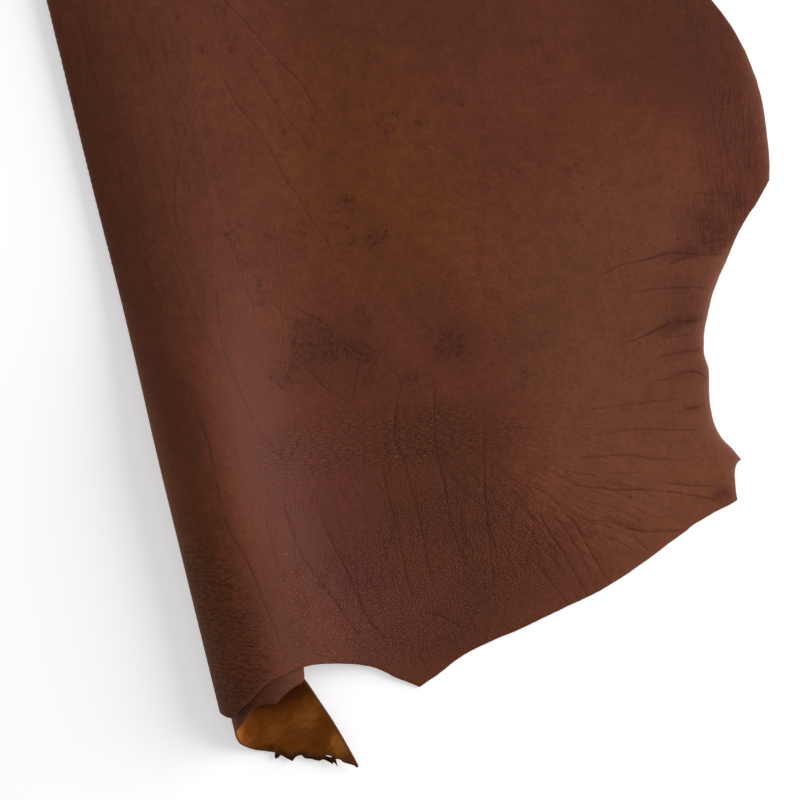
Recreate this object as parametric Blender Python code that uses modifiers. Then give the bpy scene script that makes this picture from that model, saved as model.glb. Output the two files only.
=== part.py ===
"""A leather croupon: one thick hide, laid grain side up and loosely rolled in at its left side.

Metres, +Z up. X runs across the roll, Y along it, and the hide lies on z = 0. The hide is one
sheet. Its pattern is flat: "along" is the distance on the sheet from a line on the floor just
right of the roll, positive to the right and negative into the roll, and y is the height on the
pattern. The roll bends the sheet about lines that run along Y, so y is the same flat or rolled.
"""
import math

import bmesh
import bpy
import numpy as np

NAME = "leather_croupon"
THICKNESS = 0.002
GRAIN_COLOUR = (0.078, 0.030, 0.016, 1.0)
GRAIN_ROUGHNESS = 0.55

# The roll's section changes from the near end's form to the far end's between these heights.
NEAR_FORM_TO = 0.26
FAR_FORM_FROM = 0.62

# The roll's section: poles of a smooth curve in the middle of the thickness, from the floor on
# the right, over the roll, once and a half round it, to the loose end inside.
SECTION = (
    # place, near x, near z, far x, far z, columns to the next pole
    ("floor", 0.300, 0.0010, 0.346, 0.0010, 1),
    ("floor", 0.278, 0.0010, 0.323, 0.0010, 2),
    ("ramp", 0.256, 0.0011, 0.300, 0.0010, 2),
    ("ramp", 0.234, 0.0016, 0.278, 0.0010, 2),
    ("ramp", 0.212, 0.0028, 0.255, 0.0016, 2),
    ("ramp", 0.190, 0.0048, 0.232, 0.0040, 2),
    ("ramp", 0.168, 0.0085, 0.209, 0.0078, 2),
    ("ramp", 0.147, 0.0153, 0.186, 0.0123, 2),
    ("ramp", 0.1275, 0.0260, 0.163, 0.0168, 2),
    ("ramp", 0.109, 0.0395, 0.140, 0.0207, 2),
    ("crest", 0.090, 0.0522, 0.117, 0.0238, 2),
    ("crest", 0.070, 0.0597, 0.094, 0.0257, 2),
    ("crest", 0.050, 0.0594, 0.071, 0.0257, 2),
    ("left wall", 0.031, 0.0538, 0.050, 0.0243, 2),
    ("left wall", 0.0155, 0.0437, 0.031, 0.0218, 2),
    ("left wall", 0.003, 0.0295, 0.014, 0.0183, 3),
    ("left wall", 0.0025, 0.0130, 0.0018, 0.0128, 3),
    ("under floor", 0.0145, 0.0015, 0.0022, 0.0039, 3),
    ("under floor", 0.030, 0.0010, 0.015, 0.0010, 2),
    ("under floor", 0.048, 0.0010, 0.034, 0.0010, 1),
    ("under floor", 0.066, 0.0010, 0.056, 0.0010, 1),
    ("right wall", 0.086, 0.0010, 0.079, 0.0010, 2),
    ("right wall", 0.105, 0.0055, 0.0975, 0.0013, 3),
    ("right wall", 0.109, 0.0210, 0.1075, 0.0060, 3),
    ("right wall", 0.102, 0.0360, 0.1055, 0.0145, 2),
    ("second top", 0.0865, 0.0480, 0.0945, 0.0196, 2),
    ("second top", 0.067, 0.0545, 0.079, 0.0214, 1),
    ("second top", 0.049, 0.0545, 0.063, 0.0213, 1),
    ("second top", 0.0345, 0.0492, 0.048, 0.0200, 2),
    ("inner left", 0.0215, 0.0395, 0.034, 0.0179, 2),
    ("inner left", 0.0128, 0.0265, 0.0205, 0.0152, 2),
    ("inner left", 0.0145, 0.0118, 0.0077, 0.0122, 3),
    ("inner left", 0.028, 0.0045, 0.0072, 0.0049, 3),
    ("inner floor", 0.043, 0.0046, 0.022, 0.0044, 1),
    ("inner floor", 0.057, 0.0046, 0.043, 0.0046, 1),
    ("inner floor", 0.074, 0.0047, 0.063, 0.0046, 0),
    ("loose end", 0.090, 0.0052, 0.083, 0.0047, 0),
    ("loose end", 0.105, 0.0065, 0.101, 0.0052, 0),
    ("loose end", 0.120, 0.0090, 0.118, 0.0070, 0),
    ("loose end", 0.135, 0.0120, 0.134, 0.0100, 0),
    ("loose end", 0.150, 0.0155, 0.149, 0.0140, 0),
)
LOOSE_END_COLUMNS = 3
FLAT_COLUMNS = 22
CURVE_STEPS = 12
NEAR_EDGE_TRIES = 8
FLOOR_LINE = 0.300

# The hide's edges on the pattern. The near one is ragged and waved, with a lobe that lies on
# the floor, a bay over the roll, and the loose end's long corner.
NEAR_EDGE = (
    # place, along, y
    ("shank corner", 0.308, 0.094),
    ("belly", 0.297, 0.0905),
    ("belly", 0.277, 0.086),
    ("belly", 0.257, 0.0795),
    ("belly", 0.237, 0.071),
    ("belly", 0.187, 0.050),
    ("belly", 0.138, 0.033),
    ("belly", 0.090, 0.023),
    ("belly", 0.042, 0.013),
    ("belly", -0.005, 0.005),
    ("lobe", -0.029, -0.0015),
    ("lobe", -0.055, -0.013),
    ("lobe tip", -0.080, -0.0225),
    ("lobe", -0.100, -0.008),
    ("lobe", -0.125, 0.0115),
    ("bay", -0.161, 0.0252),
    ("bay", -0.190, 0.0322),
    ("bay", -0.225, 0.0332),
    ("bay", -0.253, 0.0262),
    ("roll's top", -0.272, 0.014),
    ("roll's top", -0.290, 0.0045),
    ("roll's top", -0.300, -0.001),
    ("left wall", -0.317, 0.003),
    ("under floor", -0.350, 0.009),
    ("under floor", -0.400, 0.014),
    ("right wall", -0.430, 0.032),
    ("right wall", -0.463, 0.034),
    ("second top", -0.470, 0.019),
    ("second top", -0.490, 0.014),
    ("second top", -0.509, 0.004),
    ("second top", -0.528, 0.006),
    ("second top", -0.540, 0.000),
    ("inner left", -0.556, -0.0125),
    ("inner left", -0.571, -0.020),
    ("inner left", -0.585, -0.035),
    ("inner floor", -0.598, -0.0445),
    ("inner floor", -0.612, -0.051),
    ("inner floor", -0.629, -0.0555),
    ("inner floor", -0.647, -0.0605),
    ("loose end", -0.668, -0.067),
    ("loose end", -0.689, -0.0765),
    ("long corner", -0.708, -0.091),
)
FAR_EDGE = (
    # place, along, y
    ("neck corner", 0.332, 0.893),
    ("cut", 0.180, 0.899),
    ("cut", -0.050, 0.903),
    ("roll's top", -0.250, 0.902),
    ("under floor", -0.420, 0.898),
    ("second top", -0.560, 0.901),
    ("loose end", -0.780, 0.896),
)
# The hide's right side, upward from the shank corner: a tab, a bay, and the flank's round.
RIGHT_EDGE_BELOW_FLANK = (
    # place, x, y
    ("shank corner", 0.608, 0.094),
    ("tab", 0.609, 0.105),
    ("tab", 0.6125, 0.125),
    ("tab", 0.6175, 0.1335),
    ("tab tip", 0.6225, 0.136),
    ("tab", 0.616, 0.149),
    ("tab", 0.607, 0.165),
    ("bay", 0.603, 0.185),
    ("bay", 0.605, 0.212),
    ("bay", 0.611, 0.240),
    ("bay", 0.6105, 0.258),
    ("bay", 0.6145, 0.276),
    ("bay", 0.622, 0.294),
    ("bay", 0.637, 0.323),
    ("bay", 0.659, 0.353),
    ("bay", 0.684, 0.385),
    ("bay", 0.708, 0.408),
    ("flank corner", 0.7255, 0.427),
    ("flank", 0.731, 0.449),
)
FLANK_CENTRE = (0.487, 0.520)
FLANK_RADIUS = 0.2515
FLANK_FROM = math.radians(-10.0)
FLANK_TO = math.radians(28.0)
FLANK_STEPS = 7
RIGHT_EDGE_ABOVE_FLANK = (
    # place, x, y
    ("neck", 0.690, 0.684),
    ("neck", 0.667, 0.730),
    ("neck", 0.648, 0.785),
    ("neck", 0.636, 0.840),
    ("neck corner", 0.632, 0.893),
)
# The cut edge of the loose end inside the roll, as its x on the inner floor.
LOOSE_EDGE = (
    # place, x, y
    ("long corner", 0.1345, -0.091),
    ("loose", 0.1205, -0.040),
    ("loose", 0.1095, -0.010),
    ("loose", 0.0995, 0.016),
    ("in the roll", 0.088, 0.036),
    ("in the roll", 0.084, 0.070),
    ("in the roll", 0.086, 0.300),
    ("far end", 0.082, 0.700),
    ("far end", 0.084, 0.900),
)


def clear_scene():
    for thing in list(bpy.data.objects):
        bpy.data.objects.remove(thing, do_unlink=True)


def far_share(y):
    """How much of the far end's section there is at y, from 0 to 1."""
    t = min(max((y - NEAR_FORM_TO) / (FAR_FORM_FROM - NEAR_FORM_TO), 0.0), 1.0)
    return t * t * (3.0 - 2.0 * t)


def section_poles(y):
    near = np.array([(row[1], row[2]) for row in SECTION])
    far = np.array([(row[3], row[4]) for row in SECTION])
    return near + (far - near) * far_share(y)


def section_point(poles, place):
    """Point of the cubic B-spline on the poles; place counts poles from the floor."""
    first = min(max(int(place), 1), len(poles) - 3)
    t = place - first
    weights = np.array((
        (1.0 - t) ** 3,
        3.0 * t ** 3 - 6.0 * t ** 2 + 4.0,
        -3.0 * t ** 3 + 3.0 * t ** 2 + 3.0 * t + 1.0,
        t ** 3,
    )) / 6.0
    return weights @ poles[first - 1:first + 3]


def section_table(y):
    """Places, points and distances along the sheet, from the first place on the floor inward."""
    poles = section_poles(y)
    places = np.linspace(1.0, len(poles) - 2.0, (len(poles) - 3) * CURVE_STEPS + 1)
    points = np.array([section_point(poles, place) for place in places])
    steps = np.hypot(*np.diff(points, axis=0).T)
    along = points[0, 0] - FLOOR_LINE - np.concatenate(((0.0,), np.cumsum(steps)))
    return places, points, along


def edge_height(edge, along):
    """Height on the pattern of a near or far edge at a distance along the sheet."""
    rows = sorted((row[1], row[2]) for row in edge)
    return float(np.interp(along, [row[0] for row in rows], [row[1] for row in rows]))


def right_edge():
    """Points of the hide's right side, upward."""
    points = [(row[1], row[2]) for row in RIGHT_EDGE_BELOW_FLANK]
    for step in range(FLANK_STEPS + 1):
        turn = FLANK_FROM + (FLANK_TO - FLANK_FROM) * step / FLANK_STEPS
        points.append((FLANK_CENTRE[0] + FLANK_RADIUS * math.cos(turn),
                       FLANK_CENTRE[1] + FLANK_RADIUS * math.sin(turn)))
    points += [(row[1], row[2]) for row in RIGHT_EDGE_ABOVE_FLANK]
    return points


def loose_edge_place(y):
    """Place on the section where the loose end is cut at height y."""
    x_cut = np.interp(y, [row[2] for row in LOOSE_EDGE], [row[1] for row in LOOSE_EDGE])
    places, points, _ = section_table(y)
    inner = places >= first_inner_place()
    return float(np.interp(x_cut, points[inner, 0], places[inner]))


def first_inner_place():
    return next(index for index, row in enumerate(SECTION) if row[0] == "inner floor")


def roll_places():
    """Places of the mesh's columns on the section, from the floor to the loose end's start."""
    places = []
    for index, row in enumerate(SECTION):
        if index > 0:
            places += [index + step / row[5] for step in range(row[5])]
    return places


def along_at(place, y):
    places, _, along = section_table(y)
    return float(np.interp(place, places, along))


def bent_column(shares, start, end, place_at):
    """Points on the section from y = start to y = end, at the place that place_at gives for y."""
    column = []
    for share in shares:
        y = start + (end - start) * share
        x, z = section_point(section_poles(y), place_at(y))
        column.append((x, y, z))
    return column


def roll_column(shares, place, low, high):
    """A column that runs along the roll at one place on the section."""
    start = edge_height(NEAR_EDGE, along_at(place, low))
    end = edge_height(FAR_EDGE, along_at(place, high))
    return bent_column(shares, start, end, lambda y: place)


def loose_column(shares, last_place, part):
    """A column between the inner floor's last place and the loose edge, a part of the way."""
    def place_at(y):
        return last_place + (loose_edge_place(y) - last_place) * part

    start = NEAR_EDGE[-1][2]
    for _ in range(NEAR_EDGE_TRIES):
        start = edge_height(NEAR_EDGE, along_at(place_at(start), start))
    return bent_column(shares, start, FAR_EDGE[-1][2], place_at)


def flat_column(right, shares, floor_starts, part):
    """A column on the floor, a part of the way from the roll's foot to the right side."""
    near_x = floor_starts[0] + (right[0][0] - floor_starts[0]) * part
    far_x = floor_starts[-1] + (right[-1][0] - floor_starts[-1]) * part
    start = edge_height(NEAR_EDGE, near_x - FLOOR_LINE)
    end = edge_height(FAR_EDGE, far_x - FLOOR_LINE)
    column = []
    for (edge_x, _), share, floor_x in zip(right, shares, floor_starts):
        x = floor_x + (edge_x - floor_x) * part
        column.append((x, start + (end - start) * share, THICKNESS / 2.0))
    return column


def sheet_columns():
    """Middle surface of the hide as columns of points, from the loose end to the right side."""
    right = right_edge()
    low, high = right[0][1], right[-1][1]
    shares = [(y - low) / (high - low) for _, y in right]
    places = roll_places()
    last_place = places[-1] + 1.0
    columns = []
    for step in range(LOOSE_END_COLUMNS, -1, -1):
        columns.append(loose_column(shares, last_place, step / LOOSE_END_COLUMNS))
    for place in reversed(places):
        columns.append(roll_column(shares, place, low, high))
    floor_starts = [x for x, _, _ in columns[-1]]
    for step in range(1, FLAT_COLUMNS + 1):
        columns.append(flat_column(right, shares, floor_starts, step / FLAT_COLUMNS))
    return columns


def leather_material():
    material = bpy.data.materials.new("grain_leather")
    material.use_nodes = True
    shader = material.node_tree.nodes["Principled BSDF"]
    shader.inputs["Base Color"].default_value = GRAIN_COLOUR
    shader.inputs["Roughness"].default_value = GRAIN_ROUGHNESS
    shader.inputs["Metallic"].default_value = 0.0
    return material


def build_hide(collection):
    """The hide: a grid of the pattern, bent into its rolled form and given its thickness."""
    columns = sheet_columns()
    width, height = len(columns), len(columns[0])
    xs = [point[0] for column in columns for point in column]
    ys = [point[1] for column in columns for point in column]
    centre_x = (min(xs) - THICKNESS / 2.0 + max(xs)) / 2.0
    centre_y = (min(ys) + max(ys)) / 2.0

    grid = bmesh.new()
    bmesh.ops.create_grid(grid, x_segments=width - 1, y_segments=height - 1, size=1.0)
    grid.verts.ensure_lookup_table()
    order = sorted(grid.verts, key=lambda vert: (round(vert.co.x, 6), round(vert.co.y, 6)))
    for index, vert in enumerate(order):
        x, y, z = columns[index // height][index % height]
        vert.co = (x - centre_x, y - centre_y, z)
    mesh = bpy.data.meshes.new(NAME)
    grid.to_mesh(mesh)
    grid.free()
    mesh.shade_smooth()
    mesh.materials.append(leather_material())

    hide = bpy.data.objects.new(NAME, mesh)
    collection.objects.link(hide)
    shell = hide.modifiers.new("thickness", "SOLIDIFY")
    shell.thickness = THICKNESS
    shell.offset = 0.0
    shell.use_even_offset = True
    return hide


def main():
    clear_scene()
    collection = bpy.data.collections.new(NAME)
    bpy.context.scene.collection.children.link(collection)
    build_hide(collection)


main()
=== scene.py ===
"""The looks of the leather croupon: the rolled hide as a thin sheet of leather, with its creases,
grain, ragged edges and golden flesh side, on a plain floor in soft light.

Metres, +Z up, unless a name or heading says mm. Places are given in two ways. On the pattern,
"along" is the distance on the sheet from a line on the floor just right of the roll, negative into
the roll, and y is the height on the pattern. On the hide as it lies, x runs across the roll and y
along it, and x, y is the place that shows from above. The roll bends the sheet about lines along y,
so y is the same in both.
"""
import math

import bpy
import numpy as np
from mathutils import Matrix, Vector
from mathutils.geometry import delaunay_2d_cdt
from mathutils.kdtree import KDTree


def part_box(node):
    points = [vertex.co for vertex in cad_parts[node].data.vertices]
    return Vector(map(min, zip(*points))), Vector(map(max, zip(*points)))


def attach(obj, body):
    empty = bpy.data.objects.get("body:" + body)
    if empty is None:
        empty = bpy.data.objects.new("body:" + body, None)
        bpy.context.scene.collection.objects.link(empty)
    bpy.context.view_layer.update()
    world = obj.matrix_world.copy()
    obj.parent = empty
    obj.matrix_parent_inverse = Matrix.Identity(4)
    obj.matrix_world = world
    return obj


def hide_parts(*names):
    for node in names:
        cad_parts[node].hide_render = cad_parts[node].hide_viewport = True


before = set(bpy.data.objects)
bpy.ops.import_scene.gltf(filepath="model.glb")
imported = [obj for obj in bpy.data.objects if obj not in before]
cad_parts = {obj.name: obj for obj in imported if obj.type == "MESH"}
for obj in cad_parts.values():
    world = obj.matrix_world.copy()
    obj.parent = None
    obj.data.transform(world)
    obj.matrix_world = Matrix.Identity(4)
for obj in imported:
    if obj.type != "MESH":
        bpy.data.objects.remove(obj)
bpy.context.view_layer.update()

NODE = "leather_croupon"
MM = 0.001
TINY = 1e-9
THICKNESS = 0.002

# The roll, as the solid has it: its near form, its far form, and a smooth change between them
NEAR_FORM_TO = 0.26
FAR_FORM_FROM = 0.62
FLOOR_LINE = 0.300
SECTION = (
    # near x, near z, far x, far z: poles of a smooth curve in the middle of the thickness
    # floor
    (0.300, 0.0010, 0.346, 0.0010), (0.278, 0.0010, 0.323, 0.0010),
    # ramp
    (0.256, 0.0011, 0.300, 0.0010), (0.234, 0.0016, 0.278, 0.0010), (0.212, 0.0028, 0.255, 0.0016),
    (0.190, 0.0048, 0.232, 0.0040), (0.168, 0.0085, 0.209, 0.0078), (0.147, 0.0153, 0.186, 0.0123),
    (0.1275, 0.0260, 0.163, 0.0168), (0.109, 0.0395, 0.140, 0.0207),
    # crest
    (0.090, 0.0522, 0.117, 0.0238), (0.070, 0.0597, 0.094, 0.0257), (0.050, 0.0594, 0.071, 0.0257),
    # left wall
    (0.031, 0.0538, 0.050, 0.0243), (0.0155, 0.0437, 0.031, 0.0218),
    (0.003, 0.0295, 0.014, 0.0183), (0.0025, 0.0130, 0.0018, 0.0128),
    # under floor
    (0.0145, 0.0015, 0.0022, 0.0039), (0.030, 0.0010, 0.015, 0.0010),
    (0.048, 0.0010, 0.034, 0.0010), (0.066, 0.0010, 0.056, 0.0010),
    # right wall
    (0.086, 0.0010, 0.079, 0.0010), (0.105, 0.0055, 0.0975, 0.0013),
    (0.109, 0.0210, 0.1075, 0.0060), (0.102, 0.0360, 0.1055, 0.0145),
    # second top
    (0.0865, 0.0480, 0.0945, 0.0196), (0.067, 0.0545, 0.079, 0.0214),
    (0.049, 0.0545, 0.063, 0.0213), (0.0345, 0.0492, 0.048, 0.0200),
    # inner left
    (0.0215, 0.0395, 0.034, 0.0179), (0.0128, 0.0265, 0.0205, 0.0152),
    (0.0145, 0.0118, 0.0077, 0.0122), (0.028, 0.0045, 0.0072, 0.0049),
    # inner floor
    (0.043, 0.0046, 0.022, 0.0044), (0.057, 0.0046, 0.043, 0.0046), (0.074, 0.0047, 0.063, 0.0046),
    # loose end
    (0.090, 0.0052, 0.083, 0.0047), (0.105, 0.0065, 0.101, 0.0052), (0.120, 0.0090, 0.118, 0.0070),
    (0.135, 0.0120, 0.134, 0.0100), (0.150, 0.0155, 0.149, 0.0140),
)

# The hide's outline. A SHARP row is a corner or tip, and the edge is smooth between them. An edge
# is also sharp where it meets the next one, but the right edge runs on smoothly round the flank.
SHARP = "sharp"
NEAR_EDGE = (
    # along, y, from the shank corner to the torn strip
    (0.308, 0.094),
    # belly
    (0.297, 0.0905), (0.277, 0.086), (0.257, 0.0795), (0.237, 0.071), (0.187, 0.050),
    (0.138, 0.033), (0.090, 0.023), (0.042, 0.013), (-0.005, 0.005),
    # lobe
    (-0.029, -0.0015), (-0.055, -0.013), (-0.080, -0.0225, SHARP), (-0.100, -0.008),
    (-0.125, 0.0115),
    # bay
    (-0.161, 0.0252), (-0.190, 0.0322), (-0.225, 0.0332), (-0.253, 0.0262),
    # roll's top
    (-0.272, 0.014), (-0.290, 0.0045), (-0.300, -0.001),
    # left wall
    (-0.317, 0.003),
    # under floor
    (-0.350, 0.009), (-0.400, 0.014),
    # right wall
    (-0.430, 0.032), (-0.463, 0.034),
    # second top
    (-0.470, 0.019), (-0.490, 0.014), (-0.509, 0.004, SHARP), (-0.528, 0.006), (-0.540, 0.000),
    # inner left
    (-0.556, -0.0125), (-0.571, -0.020), (-0.585, -0.035),
    # inner floor
    (-0.598, -0.0445), (-0.612, -0.051),
    # strip corner
    (-0.6215, -0.0545),
)
TORN_STRIP = (
    # along, y: shreds and notches of a thin strip that hangs on at the loose end
    (-0.6200, -0.0590), (-0.6203, -0.0615, SHARP), (-0.6240, -0.0604), (-0.6265, -0.0588),
    (-0.6320, -0.0637), (-0.6375, -0.0681, SHARP), (-0.6434, -0.0640), (-0.6490, -0.0643),
    (-0.6514, -0.0680), (-0.6590, -0.0712), (-0.6660, -0.0746), (-0.6707, -0.0743),
    (-0.6754, -0.0770), (-0.6798, -0.0813, SHARP), (-0.6815, -0.0797), (-0.6850, -0.0854, SHARP),
    (-0.6844, -0.0766),
)
LONG_CORNER = (
    # along, y, to the loose end's long corner
    (-0.6898, -0.0787), (-0.6922, -0.0817), (-0.6978, -0.0851), (-0.7034, -0.0884),
    (-0.7050, -0.0905), (-0.7068, -0.0908),
)
LOOSE_EDGE = (
    # x, y: the cut side of the loose end, which goes on inside the roll to its far end
    (0.1345, -0.0885), (0.1205, -0.040), (0.1095, -0.010), (0.0995, 0.016), (0.088, 0.036),
    (0.084, 0.070), (0.086, 0.300), (0.082, 0.700), (0.084, 0.900),
)
FAR_EDGE = (
    # along, y, to the neck corner
    (-0.560, 0.901), (-0.420, 0.898), (-0.250, 0.902), (-0.050, 0.903), (0.180, 0.899),
    (0.332, 0.893),
)
RIGHT_EDGE_ABOVE_FLANK = (
    # x, y, from the neck corner down
    (0.636, 0.840), (0.648, 0.785), (0.667, 0.730), (0.690, 0.684),
)
RIGHT_EDGE_BELOW_FLANK = (
    # x, y, with the round flank's lower corner
    (0.731, 0.449), (0.7255, 0.427, SHARP),
    # bay
    (0.708, 0.408), (0.684, 0.385), (0.659, 0.353), (0.637, 0.323), (0.622, 0.294),
    (0.6145, 0.276), (0.6105, 0.258), (0.611, 0.240), (0.605, 0.212), (0.603, 0.185),
    # tab
    (0.607, 0.165), (0.616, 0.149), (0.6225, 0.136, SHARP), (0.6175, 0.1335), (0.6125, 0.125),
    (0.609, 0.105),
)
# A slit between the torn strip and the loose end: along, y
SLIT = (
    (-0.6758, -0.0721), (-0.6799, -0.0742), (-0.6816, -0.0732), (-0.6773, -0.0709),
    (-0.6734, -0.0700),
)
FLANK_CENTRE = (0.487, 0.520)
FLANK_RADIUS = 0.2515
FLANK_FROM = math.radians(-10.0)
FLANK_TO = math.radians(28.0)
FLANK_STEPS = 7
LOWEST_Y = -0.091

# How far the cut edges wander to either side, in a coarse and a fine wave
COARSE_WAVE = 11.0 * MM
FINE_WAVE = 3.5 * MM
FINE_SHARE = 0.5
WAVE_FADE = 4.0 * MM
NEAR_RAGGED = 0.30 * MM
STRIP_RAGGED = 0.18 * MM
CORNER_RAGGED = 0.25 * MM
RIGHT_RAGGED = 0.22 * MM

# The torn strip, which lies below this line on the pattern
STRIP_ROOT = (
    (-0.7000, -0.0900), (-0.6890, -0.0788), (-0.6821, -0.0744), (-0.6714, -0.0686),
    (-0.6542, -0.0615), (-0.6322, -0.0592), (-0.6214, -0.0545), (-0.6150, -0.0500),
)
STRIP_FROM = -0.686
STRIP_TO = -0.616
STRIP_FADE = 1.2 * MM

# Creases in the grain, as soft troughs. A negative depth is a low ridge, and a negative darkness
# makes a light line, partly a scratch and partly a painted highlight on a small fold's lit side.
CREASES = (
    # depth in mm, half width in mm, darkness, then x, y of each of its places, in mm on the
    # hide as it lies
    # Upper left, over the roll's right side
    (0.20, 0.8, 0.7, 170, 790, 197, 748, 230, 687, 250, 652, 259, 618),
    (0.16, 0.8, 0.6, 193, 705, 204, 678, 213, 650, 225, 622, 235, 599, 244, 575),
    (0.20, 0.8, 0.7, 170, 680, 176, 648, 190, 617, 200, 590, 207, 559, 218, 531, 225, 505,
     236, 478, 241, 458),
    (0.12, 0.9, 0.5, 33, 796, 33, 767, 33, 736, 26, 709, 17, 683),
    (0.10, 0.8, 0.4, 77, 784, 85, 764, 89, 737, 91, 728),
    (0.08, 0.8, 0.4, 39, 629, 38, 610, 34, 589, 32, 572),
    (-0.12, 1.4, -0.25, 157, 692, 146, 674, 132, 654, 119, 629, 109, 609, 95, 573, 86, 524),
    (0.10, 0.8, 0.4, 154, 689, 143, 671, 129, 651, 115, 626, 105, 606, 91, 570, 82, 524),
    (0.10, 0.6, 0.6, 493, 587, 511, 589),
    # Down the roll and its ramp
    (0.18, 1.0, 0.6, 109, 454, 102, 409, 102, 371, 108, 331, 115, 297, 122, 280, 131, 262),
    (0.14, 0.9, 0.5, 53, 360, 60, 330, 63, 286, 60, 256),
    (0.04, 0.5, -0.30, 189, 511, 180, 452, 170, 393, 160, 337, 158, 299),
    (0.08, 0.6, 0.45, 186, 511, 177, 452, 167, 393, 157, 337, 155, 299),
    (0.04, 0.5, -0.5, 148, 252, 145, 225),
    (0.04, 0.5, -0.4, 152, 250, 149, 225),
    (0.05, 0.5, 0.5, 150, 251, 147, 225),
    (0.12, 0.8, 0.5, 134, 508, 138, 471, 140, 439, 143, 407),
    (0.20, 1.0, 0.7, 58, 325, 63, 277, 60, 227),
    (0.28, 1.1, 0.9, 60, 215, 66, 183, 75, 150, 79, 113, 84, 84, 87, 66),
    (0.40, 1.2, 1.0, 123, 209, 125, 181, 129, 151, 139, 120, 153, 88, 168, 47),
    (0.34, 1.1, 0.9, 158, 191, 162, 163, 170, 129, 176, 95, 182, 65, 196, 36),
    (0.22, 0.9, 0.7, 101, 209, 102, 183, 102, 155, 101, 138),
    (0.20, 0.9, 0.6, 23, 53, 29, 35, 36, 19),
    (0.14, 0.9, 0.5, 190, 120, 196, 90, 200, 62),
    # Long lines over the belly
    (0.28, 0.9, 0.9, 272, 289, 263, 269, 257, 244, 262, 223, 262, 184, 263, 149, 260, 106,
     261, 77),
    (0.30, 0.9, 0.9, 314, 295, 310, 279, 301, 239, 298, 187, 296, 144, 300, 97, 305, 90),
    (0.30, 0.9, 0.9, 354, 232, 352, 223, 341, 173, 333, 120, 325, 61),
    (0.22, 0.9, 0.8, 236, 227, 236, 187, 237, 144, 235, 105, 236, 70),
    (0.14, 0.8, 0.5, 375, 157, 356, 117),
    (0.12, 0.7, 0.7, 302, 204, 328, 161, 355, 115, 370, 90),
    (0.24, 0.9, 0.8, 370, 90, 385, 61, 398, 30, 404, 14),
    (0.18, 0.8, 0.7, 388, 132, 378, 106, 364, 78),
    (0.14, 0.8, 0.6, 372, 150, 362, 135, 355, 115),
    (0.18, 0.8, 0.7, 353, 201, 376, 171, 404, 153, 417, 133),
    (0.26, 0.9, 0.9, 392, 135, 399, 107, 410, 77, 420, 42, 425, 24),
    (0.28, 0.9, 0.9, 415, 133, 429, 108, 436, 81, 444, 55, 452, 28),
    (0.12, 0.7, 0.6, 402, 138, 414, 112, 424, 84, 431, 50, 436, 28),
    (0.10, 0.7, 0.5, 380, 118, 392, 88, 404, 55, 412, 24),
    (0.24, 0.9, 1.0, 241, 57, 263, 45, 283, 26),
    # The fan towards the shank
    (0.32, 0.9, 0.9, 431, 154, 458, 144, 483, 136, 514, 128, 538, 120, 561, 110, 587, 98),
    (0.28, 0.8, 0.9, 535, 131, 557, 123, 591, 114),
    (0.28, 0.8, 0.8, 449, 180, 475, 176, 503, 170, 522, 162, 536, 157, 562, 151),
    (0.16, 0.8, 0.6, 480, 196, 501, 198, 521, 195, 554, 186, 588, 178),
    (0.10, 0.7, 0.4, 481, 155, 513, 148),
    (0.34, 0.9, 1.0, 440, 112, 465, 104, 490, 89, 509, 82, 543, 76),
    (0.26, 0.8, 0.9, 486, 83, 495, 70, 502, 62),
    (0.12, 0.7, 0.6, 424, 175, 447, 163, 470, 155),
    (0.12, 0.7, 0.6, 436, 135, 462, 124, 488, 113),
    (0.12, 0.7, 0.5, 450, 92, 470, 80, 484, 66),
    # Short creases into the right bay
    (0.36, 1.0, 1.0, 517, 368, 547, 375, 575, 374, 601, 375, 625, 367, 658, 359),
    (0.26, 0.9, 0.9, 591, 360, 610, 366, 632, 362),
    (0.28, 0.9, 0.9, 631, 378, 662, 375),
    (0.30, 0.8, 0.9, 551, 341, 568, 341, 598, 336, 633, 327),
    (0.36, 1.0, 1.0, 531, 291, 545, 292, 561, 296, 582, 300, 616, 294),
    (0.26, 0.8, 0.9, 565, 289, 585, 284, 606, 283),
    (0.26, 0.8, 0.8, 560, 268, 578, 267, 610, 263),
    (0.30, 0.8, 0.9, 548, 243, 565, 241, 575, 243, 596, 242, 607, 230),
    (0.16, 0.8, 0.6, 470, 230, 504, 225, 537, 222, 562, 218, 579, 215),
    (0.26, 0.9, 0.9, 574, 204, 596, 203),
    (0.10, 0.6, 0.4, 550, 389, 579, 393),
    (0.12, 0.7, 0.5, 638, 434, 662, 427, 687, 419),
    (0.10, 0.7, 0.4, 637, 425, 660, 418, 684, 412),
    (0.05, 0.5, -0.35, 335, 461, 364, 437),
    # Forked lines in the middle
    (0.18, 0.8, 0.9, 182, 416, 209, 393, 218, 381),
    (0.16, 1.2, 1.0, 217, 391, 212, 353),
    (0.18, 0.9, 0.9, 225, 371, 244, 348, 261, 340),
    (0.18, 0.9, 0.9, 244, 348, 233, 326, 223, 300),
    (0.16, 0.8, 0.8, 261, 340, 244, 323, 231, 306),
    (0.16, 0.8, 0.8, 181, 352, 195, 324, 210, 308, 222, 296),
    (0.12, 0.8, 0.6, 264, 336, 276, 316, 278, 304, 272, 289),
    (0.10, 0.8, 0.6, 161, 428, 169, 416, 177, 400),
    (0.12, 0.8, 0.6, 142, 346, 157, 323),
    (0.08, 0.8, 0.7, 182, 377, 196, 369, 213, 369),
    (0.10, 0.9, 1.0, 335, 349, 344, 340),
    (0.08, 0.7, 0.8, 318, 362, 324, 366),
    (0.10, 1.0, 0.8, 354, 346, 350, 325),
    (0.10, 0.8, 0.7, 343, 316, 361, 310),
    (0.08, 0.8, 0.5, 312, 322, 342, 317),
)
CREASE_STEP = 2.5 * MM
CREASE_WANDER = 0.45 * MM
CREASE_ROWS = (-2.3, -1.0, 0.0, 1.0, 2.3)
CREASE_REACH = 5.0
CREASE_FADE = 7.0 * MM
CREASE_FADE_SHARE = 0.4
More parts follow.
